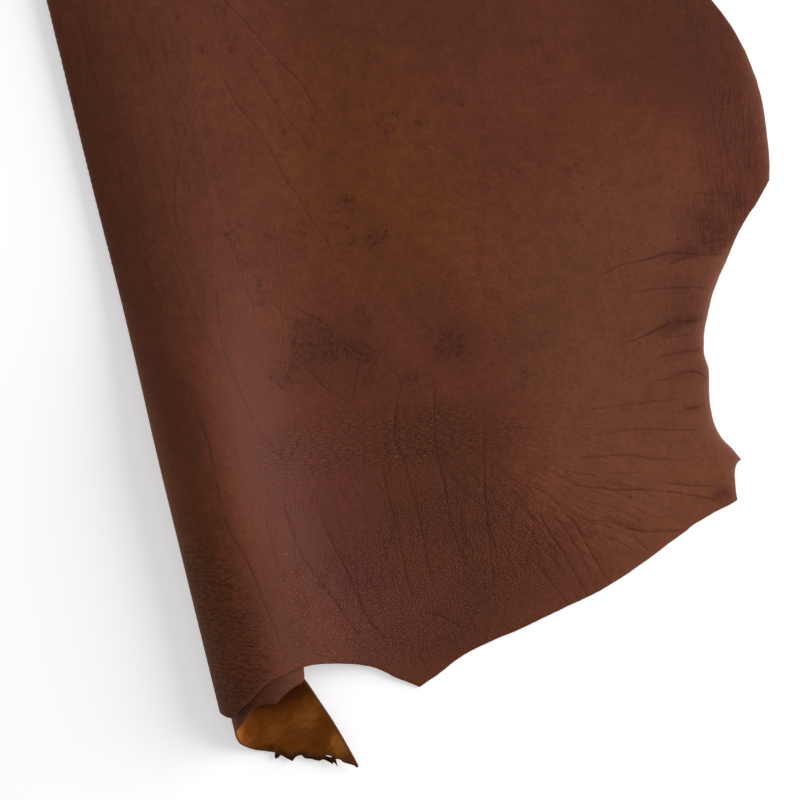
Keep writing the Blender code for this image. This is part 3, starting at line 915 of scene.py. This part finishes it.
def build_hide(roll, shift):
    """The hide as one closed mesh: grain side, flesh side and a rounded cut edge between."""
    loops = outline(roll)
    border = np.vstack(loops)
    lines = crease_lines(roll)
    extra = np.vstack((crease_points(lines), spot_points(roll)))
    top = side_points(loops, ((TOP_SPACING, False), (HIDDEN_SPACING, True)), extra)
    under = side_points(loops, ((FLESH_SPACING, None),))
    top_faces = triangulate(top, loops)
    under_faces = triangulate(under, loops)

    count = len(border)
    relief, dark, light = crease_relief(top, lines)
    top_points = side_surface(roll, top, border, 1.0, relief)
    under_points = side_surface(roll, under, border, -1.0)
    outer = np.vstack([inset_points(loop, -RIM_OUT) for loop in loops])
    rim = (top_points[:count] + under_points[:count]) / 2.0
    rim = rim + roll.middle(*outer.T) - roll.middle(*border.T)
    points = np.vstack((top_points, under_points, rim)) + shift

    under_start = len(top_points)
    rim_start = under_start + len(under_points)
    faces = top_faces.tolist() + (under_faces[:, ::-1] + under_start).tolist()
    for a, b in loop_edges(loops):
        faces.append((b, a, a + rim_start, b + rim_start))
        faces.append((b + rim_start, a + rim_start, a + under_start, b + under_start))
    slots = [0] * len(top_faces) + [1] * len(under_faces) + [2] * (2 * count)

    mesh = bpy.data.meshes.new("leather_hide")
    mesh.from_pydata(points.tolist(), [], faces)
    mesh.polygons.foreach_set("material_index", slots)
    mesh.shade_smooth()
    places = np.vstack((top, under, border))
    pattern = np.column_stack((places, np.zeros(len(places))))
    vectors = mesh.attributes.new("pattern", "FLOAT_VECTOR", "POINT")
    vectors.data.foreach_set("vector", pattern.astype(np.float32).ravel())

    beyond_top = np.zeros(len(places) - len(top))
    fields = {name: zone_field(places, zones, roll) for name, zones in ZONES.items()}
    fields["crease"] = np.concatenate((dark, beyond_top))
    # Light lines: partly scratches, partly painted highlights on small folds
    fields["scratch_and_highlight"] = np.concatenate((light, beyond_top))
    fields["pit"] = spot_field(places, PITS, roll)
    fields["scuff"] = spot_field(places, SCUFFS, roll)
    fields["rim"] = np.exp(-nearest(places, border) / RIM_WIDTH)
    fields["strip"] = strip_field(places)
    for name, values in fields.items():
        layer = mesh.attributes.new(name, "FLOAT", "POINT")
        layer.data.foreach_set("value", values.astype(np.float32))
    mesh.update()
    return add_object("leather_hide", mesh)


class Value:
    """A node's output, which takes +, - and * with numbers and other outputs."""

    def __init__(self, graph, socket):
        self.graph = graph
        self.socket = socket

    def __add__(self, other):
        return self.graph.math("ADD", self, other)

    def __sub__(self, other):
        return self.graph.math("SUBTRACT", self, other)

    def __rsub__(self, other):
        return self.graph.math("SUBTRACT", other, self)

    def __mul__(self, other):
        return self.graph.math("MULTIPLY", self, other)


class Graph:
    """A node tree with short ways to add and join nodes."""

    def __init__(self, owner):
        owner.use_nodes = True
        self.nodes = owner.node_tree.nodes
        self.links = owner.node_tree.links

    def put(self, node, values):
        """Set a node's inputs, or join them where the value is another node's output."""
        for name, value in values.items():
            if isinstance(value, Value):
                self.links.new(value.socket, node.inputs[name])
            else:
                node.inputs[name].default_value = value

    def node(self, kind, values, output=0, **settings):
        """One output of a new node with the given inputs and settings."""
        node = self.nodes.new("ShaderNode" + kind)
        for name, setting in settings.items():
            setattr(node, name, setting)
        self.put(node, values)
        return Value(self, node.outputs[output])

    def attribute(self, name, output="Fac"):
        return self.node("Attribute", {}, output, attribute_name=name)

    def pattern_mm(self):
        return self.scaled(self.attribute("pattern", "Vector"), 1000.0)

    def math(self, operation, first, second=0.0):
        return self.node("Math", {0: first, 1: second}, operation=operation)

    def vector_math(self, operation, first, second=(0.0, 0.0, 0.0), output="Vector"):
        return self.node("VectorMath", {0: first, 1: second}, output, operation=operation)

    def scaled(self, vector, factor):
        return self.node("VectorMath", {0: vector, "Scale": factor}, operation="SCALE")

    def stretched(self, vector, turn, across, up):
        """The vector turned by an angle in degrees and divided by a size in each direction."""
        values = {"Vector": vector, "Rotation": (0.0, 0.0, math.radians(turn)),
                  "Scale": (across, up, 1.0)}
        return self.node("Mapping", values, vector_type="TEXTURE")

    def noise(self, vector, size=1.0, detail=2.0, roughness=0.5, output="Fac"):
        """A soft noise with features of about the size, in the vector's unit."""
        values = {"Vector": vector, "Scale": 1.0 / size, "Detail": detail, "Roughness": roughness}
        return self.node("TexNoise", values, output, noise_dimensions="2D")

    def shaken(self, vector, size, reach):
        """The vector with its places shaken about by a noise."""
        colour = self.noise(vector, size, 1.0, output="Color")
        shift = self.vector_math("SUBTRACT", colour, (0.5, 0.5, 0.5))
        return self.vector_math("ADD", vector, self.scaled(shift, reach))

    def cells(self, vector, turn, across, up, full=0.36):
        """Rounded cells with soft valleys between, of a size in mm each way."""
        values = {"Vector": self.stretched(vector, turn, across, up), "Scale": 1.0}
        edge = self.node("TexVoronoi", values, "Distance", voronoi_dimensions="2D",
                         feature="DISTANCE_TO_EDGE")
        return self.ranged(edge, 0.0, full)

    def lines_of(self, noise, width):
        """1 everywhere but on thin lines, where the noise has its middle value."""
        return self.ranged(self.math("ABSOLUTE", noise - 0.5), 0.0, width)

    def strokes(self, vector, turn, across, up, width):
        """Thin broken lines, of a spacing and a length in mm."""
        noise = self.noise(self.stretched(vector, turn, across, up), detail=1.0)
        return self.lines_of(noise, width)

    def polar(self, offset, reach):
        """Places round a focus: distance round it at the reach, and distance from it."""
        x, y = (self.node("SeparateXYZ", {0: offset}, axis) for axis in "XY")
        away = self.vector_math("LENGTH", offset, output="Value")
        return self.node("CombineXYZ", {"X": self.math("ARCTAN2", y, x) * reach, "Y": away})

    def ranged(self, value, low, high, to_low=0.0, to_high=1.0, kind="SMOOTHSTEP"):
        values = {"Value": value, "From Min": low, "From Max": high, "To Min": to_low,
                  "To Max": to_high}
        return self.node("MapRange", values, "Result", interpolation_type=kind)

    def mixed(self, share, first, second, blend="MIX"):
        values = {"Factor": share, 6: first, 7: second}
        return self.node("Mix", values, 2, data_type="RGBA", blend_type=blend)

    def grey(self, value):
        return self.node("CombineColor", {"Red": value, "Green": value, "Blue": value})

    def bump(self, height, distance, strength):
        return self.node("Bump", {"Height": height, "Distance": distance, "Strength": strength})


class Material(Graph):
    """A new material and its node tree."""

    def __init__(self, name):
        self.material = bpy.data.materials.new(name)
        super().__init__(self.material)

    def shaded(self, values):
        """The material, with its shader's inputs set."""
        self.put(self.nodes["Principled BSDF"], values)
        return self.material


def grain_material():
    """Waxed full grain: smooth over the back, pebbled over the belly, creased towards the legs,
    with painted light, shade and sheen in its tone.
    """
    g = Material("grain_leather")
    at = g.attribute
    mm = g.pattern_mm()
    shaken = g.shaken(mm, 1.0 / 0.16, 3.0)
    rough_places = g.shaken(mm, 1.0 / 0.30, 3.4)

    broad = g.noise(mm, 80.0)
    middle = g.noise(mm, 18.0, 3.0, 0.6)
    ragged_noise = g.noise(mm, 8.0, 3.0, 0.6)
    blotch = g.noise(mm, 6.0, 2.0, 0.6)
    small = g.noise(mm, 3.6)
    fine = g.noise(mm, 1.9, 2.0, 0.6)
    mottle = middle * 0.5 + blotch * 0.5

    pebble = g.cells(rough_places, -60.0, 3.9, 2.8)
    net = g.cells(rough_places, -20.0, 3.2, 2.7)
    warp = g.noise(g.stretched(mm, -12.0, 24.0, 12.0), 1.0, 3.0, 0.55)
    level = g.vector_math("DOT_PRODUCT", shaken, WRINKLE_STEP, "Value") + warp * 3.4
    wrinkles = g.ranged(g.math("PINGPONG", level, 0.5), 0.0, 0.30)
    wrinkles = g.math("MAXIMUM", wrinkles, g.ranged(middle, 0.50, 0.72))
    wall = g.cells(shaken, -12.0, 13.0, 4.3, 0.30) * 0.38 + wrinkles * 0.62
    ridges = g.cells(shaken, -5.0, 12.0, 3.4, 0.30)
    back = g.strokes(shaken, 2.0, 9.0, 120.0, 0.06)
    polar = g.polar(g.vector_math("SUBTRACT", shaken, FAN_FOCUS), FAN_REACH)
    fan = g.strokes(polar, 0.0, 6.0, 60.0, 0.075)
    across_hatch = g.strokes(shaken, -12.0, 26.0, 6.4, 0.08)
    hatch = g.strokes(shaken, -12.0, 5.4, 40.0, 0.10)
    hatch = g.math("MINIMUM", hatch, across_hatch * 0.5 + 0.5)
    long_lines = g.strokes(shaken, -6.0, 13.0, 95.0, 0.030)
    veins = g.lines_of(g.noise(g.stretched(shaken, 24.0, 34.0, 60.0), 1.0, 2.0, 0.45), 0.012)
    flecks = g.noise(g.stretched(shaken, 35.0, 6.5, 3.2), 1.0, 2.0, 0.6)
    flecks = g.ranged(flecks, 0.48, 0.66)

    uneven = g.ranged(middle, 0.30, 0.70, 0.65, 1.10)
    pebbled, walled, ridged, fanned, hatched, lined = (
        at(name) * uneven for name in ("pebble", "wall", "ridges", "fan", "hatch", "belly"))
    worn = 1.0 - g.math("MINIMUM", pebbled, 1.0)

    # Purple-brown tone, partly a painted sheen on the ramp and by the right edges
    purple_and_sheen = at("purple_and_sheen") + (broad - 0.5) * 0.8 + (blotch - 0.5) * 0.6
    toned = g.mixed(g.ranged(at("warm") + (middle - 0.5), 0.0, 1.1), BROWN, WARM_BROWN)
    toned = g.mixed(g.ranged(at("tan"), 0.0, 1.0), toned, TAN_BROWN)
    toned = g.mixed(g.ranged(purple_and_sheen, 0.1, 1.3), toned, PURPLE_BROWN)

    tone = g.ranged(broad, 0.30, 0.70, 0.96, 1.05, "LINEAR")
    for noise, gain in ((middle, 0.10), (blotch, 0.09), (small, 0.07), (fine, 0.03)):
        tone = tone * g.ranged(noise, 0.25, 0.75, 1.0 - gain, 1.0 + gain, "LINEAR")
    # Lighter and darker tone, partly painted light and painted shade, and a little lighter near the
    # edges
    for name, gain in (("light", 0.26), ("darker_and_painted_shade", -0.24), ("rim", 0.08)):
        tone = tone * (at(name) * gain + 1.0)
    height = pebble * 0.04 + fine * 0.05
    for relief, where, darkness, depth in (
            # height from 0 to 1, its place and strength, how much darker it is where it is low,
            # and its depth in mm as bump
            (pebble, pebbled, 0.42, 0.25),
            (pebble, worn, 0.06, 0.0),
            (wall, walled, 0.57, 0.18),
            (ridges, ridged, 0.33, 0.18),
            (fan, fanned, 0.26, 0.16),
            (hatch, hatched, 0.36, 0.12),
            (back, at("streaks"), 0.12, 0.0),
            (long_lines, lined, 0.16, 0.12),
            (veins, 1.0, 0.06, 0.0)):
        tone = tone * (1.0 - g.math("MINIMUM", (1.0 - relief) * (where * darkness), DARKEST))
        if depth:
            height = height + relief * (where * depth)
    toned = g.mixed(1.0, toned, g.grey(tone), "MULTIPLY")

    broken = g.ranged(mottle, 0.38, 0.60)
    bruise = at("bruise") * (broken * 0.45 + 0.25)
    scattered = g.noise(g.vector_math("ADD", mm, (200.0, 90.0, 0.0)), 24.0)
    plain = g.math("MAXIMUM", 1.0 - (at("belly") + at("fan")), 0.0)
    scattered = g.ranged(scattered, 0.54, 0.68) * plain
    patched = at("patch") + scattered * 0.40 + (ragged_noise - 0.5) * 2.8
    marks = flecks * 0.62 + (1.0 - net) * 0.40
    patch = g.ranged(patched, 0.35, 1.55) * (broken * 0.08 + marks)
    for share, layer in (
            # Painted sheen by the right edges
            (at("painted_edge_sheen") * at("rim") * 0.90, PAINTED_SHEEN_BROWN),
            (g.math("MINIMUM", bruise, DARKEST), BRUISE_BROWN),
            (g.math("MINIMUM", patch, DARKEST), DARK_BROWN),
            (at("crease") * 0.72, CREASE_BROWN), (at("pit") * 0.9, DARK_BROWN),
            # Light lines, partly scratches and partly painted highlights on small folds
            (at("scuff") * 0.55, SCUFF_COLOUR), (at("scratch_and_highlight") * 0.16, SCUFF_COLOUR),
            (at("strip") * 0.8, DARK_BROWN)):
        toned = g.mixed(share, toned, layer)
    return g.shaded({
        "Base Color": toned, "Normal": g.bump(height, MM, 0.8), "IOR": 1.32,
        "Roughness": g.ranged(mottle, 0.3, 0.7, 0.58, 0.68), "Specular IOR Level": 0.26})


def flesh_material():
    """The suede-like flesh side: golden brown, brushed, with darker flanks, painted shade under the
    roll's outer turns and painted light on the inner left wall and the loose end.
    """
    g = Material("flesh_side")
    at = g.attribute
    mm = g.pattern_mm()
    cloudy = g.noise(mm, 22.0, 3.0, 0.55)
    brushed = g.noise(g.stretched(mm, 70.0, 2.6, 18.0), 1.0, 3.0, 0.6)
    nap = g.noise(mm, 1.0 / 1.2, 3.0, 0.7)
    share = cloudy * 0.24 + brushed * 0.14 + nap * 0.08
    # Painted light on the inner left wall and the loose end, and painted shade under the roll's
    # outer turns
    share = share + at("painted_light") * 0.20 + 0.31 - at("shade") * 0.22
    colour = g.mixed(g.ranged(share, 0.30, 0.52), FLESH_DARK, FLESH_GOLD)
    colour = g.mixed(g.ranged(share, 0.50, 0.76), colour, FLESH_LIGHT)
    colour = g.mixed(g.ranged(at("rim"), 0.62, 1.0), colour, EDGE_COLOUR)
    fibres = g.noise(g.stretched(mm, 30.0, 5.0, 0.8), 1.0, 3.0, 0.6)
    torn = g.mixed(g.ranged(fibres, 0.50, 0.72), STRIP_DARK, STRIP_LIGHT)
    colour = g.mixed(at("strip") * 0.95, colour, torn)
    return g.shaded({
        "Base Color": colour, "Normal": g.bump(brushed * 0.10 + nap * 0.10, MM, 0.7),
        "Roughness": 0.85, "Specular IOR Level": 0.03})


def edge_material():
    """The cut edge: darker, fibrous and dull."""
    g = Material("cut_edge")
    fibres = g.noise(g.pattern_mm(), 1.0 / 1.3, 3.0, 0.7)
    darker = tuple(EDGE_SHADE * value for value in EDGE_COLOUR[:3]) + (1.0,)
    return g.shaded({
        "Base Color": g.mixed(g.ranged(fibres, 0.35, 0.65), darker, EDGE_COLOUR),
        "Normal": g.bump(fibres, MM * 0.4, 0.7), "Roughness": 0.75, "Specular IOR Level": 0.3})


def add_floor():
    corners = [(x * FLOOR_HALF, y * FLOOR_HALF, 0.0)
               for x, y in ((-1, -1), (1, -1), (1, 1), (-1, 1))]
    mesh = bpy.data.meshes.new("floor")
    mesh.from_pydata(corners, [], [(0, 1, 2, 3)])
    mesh.materials.append(Material("pale_floor").shaded({
        "Base Color": FLOOR_COLOUR, "Roughness": 0.9, "Specular IOR Level": 0.1,
        "Emission Color": WHITE, "Emission Strength": FLOOR_GLOW}))
    floor = add_object("floor", mesh)


def add_key(centre):
    """A large soft light, low on the right, that brings out the relief."""
    data = bpy.data.lights.new("key", "AREA")
    data.shape = "DISK"
    data.size = KEY_SIZE
    data.energy = KEY_POWER
    light = add_object("key", data)
    light.location = centre + Vector(KEY_OFFSET)
    light.rotation_euler = (-Vector(KEY_OFFSET)).to_track_quat("-Z", "Y").to_euler()


def add_sky():
    """Soft white light from all round, brighter near the horizon than overhead."""
    world = bpy.data.worlds.new("sky")
    g = Graph(world)
    direction = g.node("TexCoord", {}, "Generated")
    height = g.node("SeparateXYZ", {0: direction}, "Z")
    strength = g.ranged(height, 0.0, 1.0, SKY_AT_HORIZON, SKY_OVERHEAD, "LINEAR")
    g.put(g.nodes["Background"], {"Color": WHITE, "Strength": strength})
    bpy.context.scene.world = world


def add_camera(centre):
    data = bpy.data.cameras.new("camera")
    data.lens = LENS
    data.sensor_width = SENSOR
    data.sensor_fit = "HORIZONTAL"
    camera = add_object("camera", data)
    camera.location = centre + Vector((0.0, 0.0, CAMERA_HEIGHT))
    camera.rotation_euler = (0.0, 0.0, -ROLL_TILT)
    bpy.context.scene.camera = camera


def main():
    shift = origin_shift()
    hide = build_hide(Roll(), shift)
    for material in (grain_material(), flesh_material(), edge_material()):
        hide.data.materials.append(material)
    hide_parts(NODE)
    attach(hide, "root")
    centre = Vector((VIEW_CENTRE[0] + shift[0], VIEW_CENTRE[1] + shift[1], 0.0))
    add_floor()
    add_key(centre)
    add_sky()
    add_camera(centre)
    bpy.context.scene.view_settings.view_transform = "Standard"


main()
